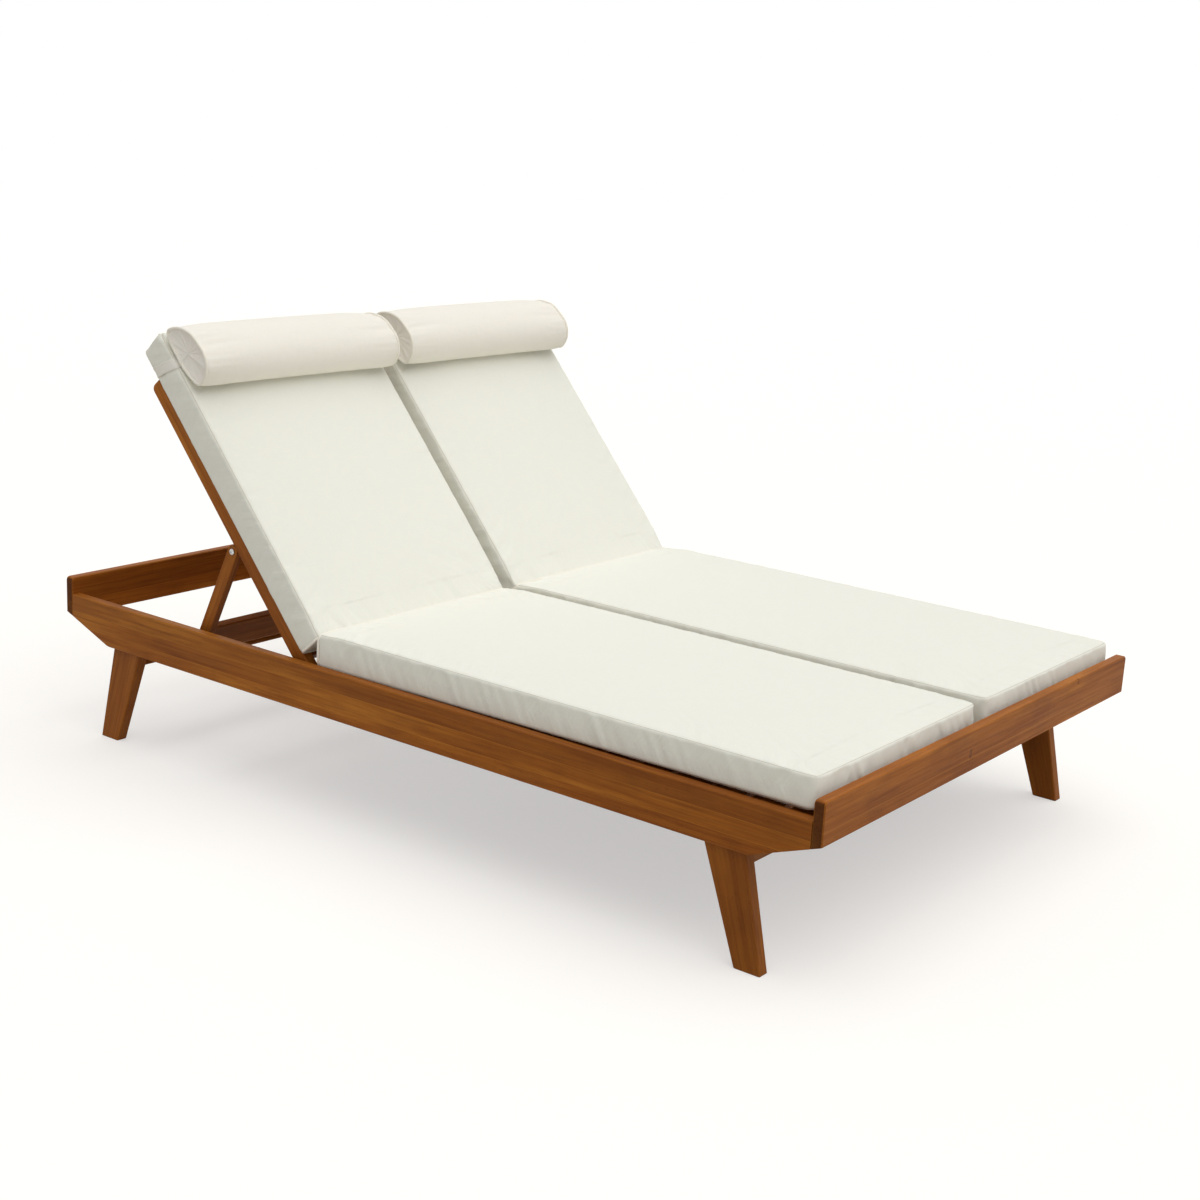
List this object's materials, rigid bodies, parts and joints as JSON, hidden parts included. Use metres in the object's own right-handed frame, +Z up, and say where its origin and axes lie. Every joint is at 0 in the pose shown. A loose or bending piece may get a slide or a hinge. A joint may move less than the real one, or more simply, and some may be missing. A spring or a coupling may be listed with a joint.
{
  "type": "double chaise lounger",
  "caption": "Double chaise lounger: a slatted timber platform on raked legs, reclining backrests held by swinging props in notched racks, box cushions and head rolls.",
  "frame": {"origin": "centre of the footprint on the floor", "axes": "+Z up; +Y along the length, from the foot end to the head end; +X across, with the left half at -X"},
  "size_m": [1.262, 2, 0.9496],
  "materials": {
    "oiled_acacia": "oiled, satin, open grain",
    "dowel_wood": "plain turned beech",
    "cushion_fabric": "matt woven outdoor cloth",
    "head_roll_fabric": "matt woven outdoor cloth with piping",
    "strap_webbing": "flat woven tape",
    "stainless_steel": "brushed"
  },
  "bodies": {
    "platform": {"centre_beam": "oiled_acacia", "foot_board": "oiled_acacia", "frame_dowels": "dowel_wood", "head_board": "oiled_acacia", "hinge_rail_left": "oiled_acacia", "hinge_rail_right": "oiled_acacia", "leg_bolts": "stainless_steel", "leg_foot_left": "oiled_acacia", "leg_foot_right": "oiled_acacia", "leg_head_left": "oiled_acacia", "leg_head_right": "oiled_acacia", "leg_tie_foot": "oiled_acacia", "leg_tie_head": "oiled_acacia", "pivot_bolts": "stainless_steel", "pivot_spacers": "stainless_steel", "prop_rack_left_inner": "oiled_acacia", "prop_rack_left_outer": "oiled_acacia", "prop_rack_right_inner": "oiled_acacia", "prop_rack_right_outer": "oiled_acacia", "rack_screws": "stainless_steel", "seat_cushion_left": "cushion_fabric", "seat_cushion_right": "cushion_fabric", "seat_slats": "oiled_acacia", "side_rail_left": "oiled_acacia", "side_rail_right": "oiled_acacia", "slat_ledger_left": "oiled_acacia", "slat_ledger_right": "oiled_acacia"},
    "back_left": {"back_stile_left_inner": "oiled_acacia", "back_stile_left_outer": "oiled_acacia", "back_bottom_rail_left": "oiled_acacia", "back_top_rail_left": "oiled_acacia", "back_slats_left": "oiled_acacia", "prop_cleats_left": "oiled_acacia", "prop_bolts_left": "stainless_steel", "prop_washers_left": "stainless_steel", "prop_nuts_left": "stainless_steel"},
    "prop_left": {"prop_bar_left_inner": "oiled_acacia", "prop_bar_left_outer": "oiled_acacia", "prop_board_left": "oiled_acacia", "prop_rod_left": "stainless_steel"},
    "cushion_left": {"back_cushion_left": "cushion_fabric", "head_roll_left": "head_roll_fabric", "head_roll_strap_left": "strap_webbing"},
    "back_right": {"back_stile_right_inner": "oiled_acacia", "back_stile_right_outer": "oiled_acacia", "back_bottom_rail_right": "oiled_acacia", "back_top_rail_right": "oiled_acacia", "back_slats_right": "oiled_acacia", "prop_cleats_right": "oiled_acacia", "prop_bolts_right": "stainless_steel", "prop_washers_right": "stainless_steel", "prop_nuts_right": "stainless_steel"},
    "prop_right": {"prop_bar_right_inner": "oiled_acacia", "prop_bar_right_outer": "oiled_acacia", "prop_board_right": "oiled_acacia", "prop_rod_right": "stainless_steel"},
    "cushion_right": {"back_cushion_right": "cushion_fabric", "head_roll_right": "head_roll_fabric", "head_roll_strap_right": "strap_webbing"}
  },
  "joints": [
    {"name": "back_left_recline", "type": "hinge", "parent": "platform", "child": "back_left", "pos_m": [-0.3145, 0.2565, 0.291], "axis": [1, 0, 0], "range_deg": [-49, 0]},
    {"name": "prop_left_swing", "type": "hinge", "parent": "back_left", "child": "prop_left", "pos_m": [-0.3145, 0.4877, 0.50118], "axis": [1, 0, 0], "range_deg": [0, 114.35]},
    {"name": "cushion_left_slide", "type": "slide", "parent": "back_left", "child": "cushion_left", "axis": [0, 0.6561, 0.7547], "range_m": [-0.0765, 0]},
    {"name": "back_right_recline", "type": "hinge", "parent": "platform", "child": "back_right", "pos_m": [0.3145, 0.2565, 0.291], "axis": [1, 0, 0], "range_deg": [-49, 0]},
    {"name": "prop_right_swing", "type": "hinge", "parent": "back_right", "child": "prop_right", "pos_m": [0.3145, 0.4877, 0.50118], "axis": [1, 0, 0], "range_deg": [0, 114.35]},
    {"name": "cushion_right_slide", "type": "slide", "parent": "back_right", "child": "cushion_right", "axis": [0, 0.6561, 0.7547], "range_m": [-0.0765, 0]}
  ],
  "couplings": [
    {"joint": "prop_left_swing", "follows": "back_left_recline", "ratio": -2.3327},
    {"joint": "cushion_left_slide", "follows": "back_left_recline", "m_per_rad": 0.088867},
    {"joint": "prop_right_swing", "follows": "back_right_recline", "ratio": -2.3327},
    {"joint": "cushion_right_slide", "follows": "back_right_recline", "m_per_rad": 0.088867}
  ]
}
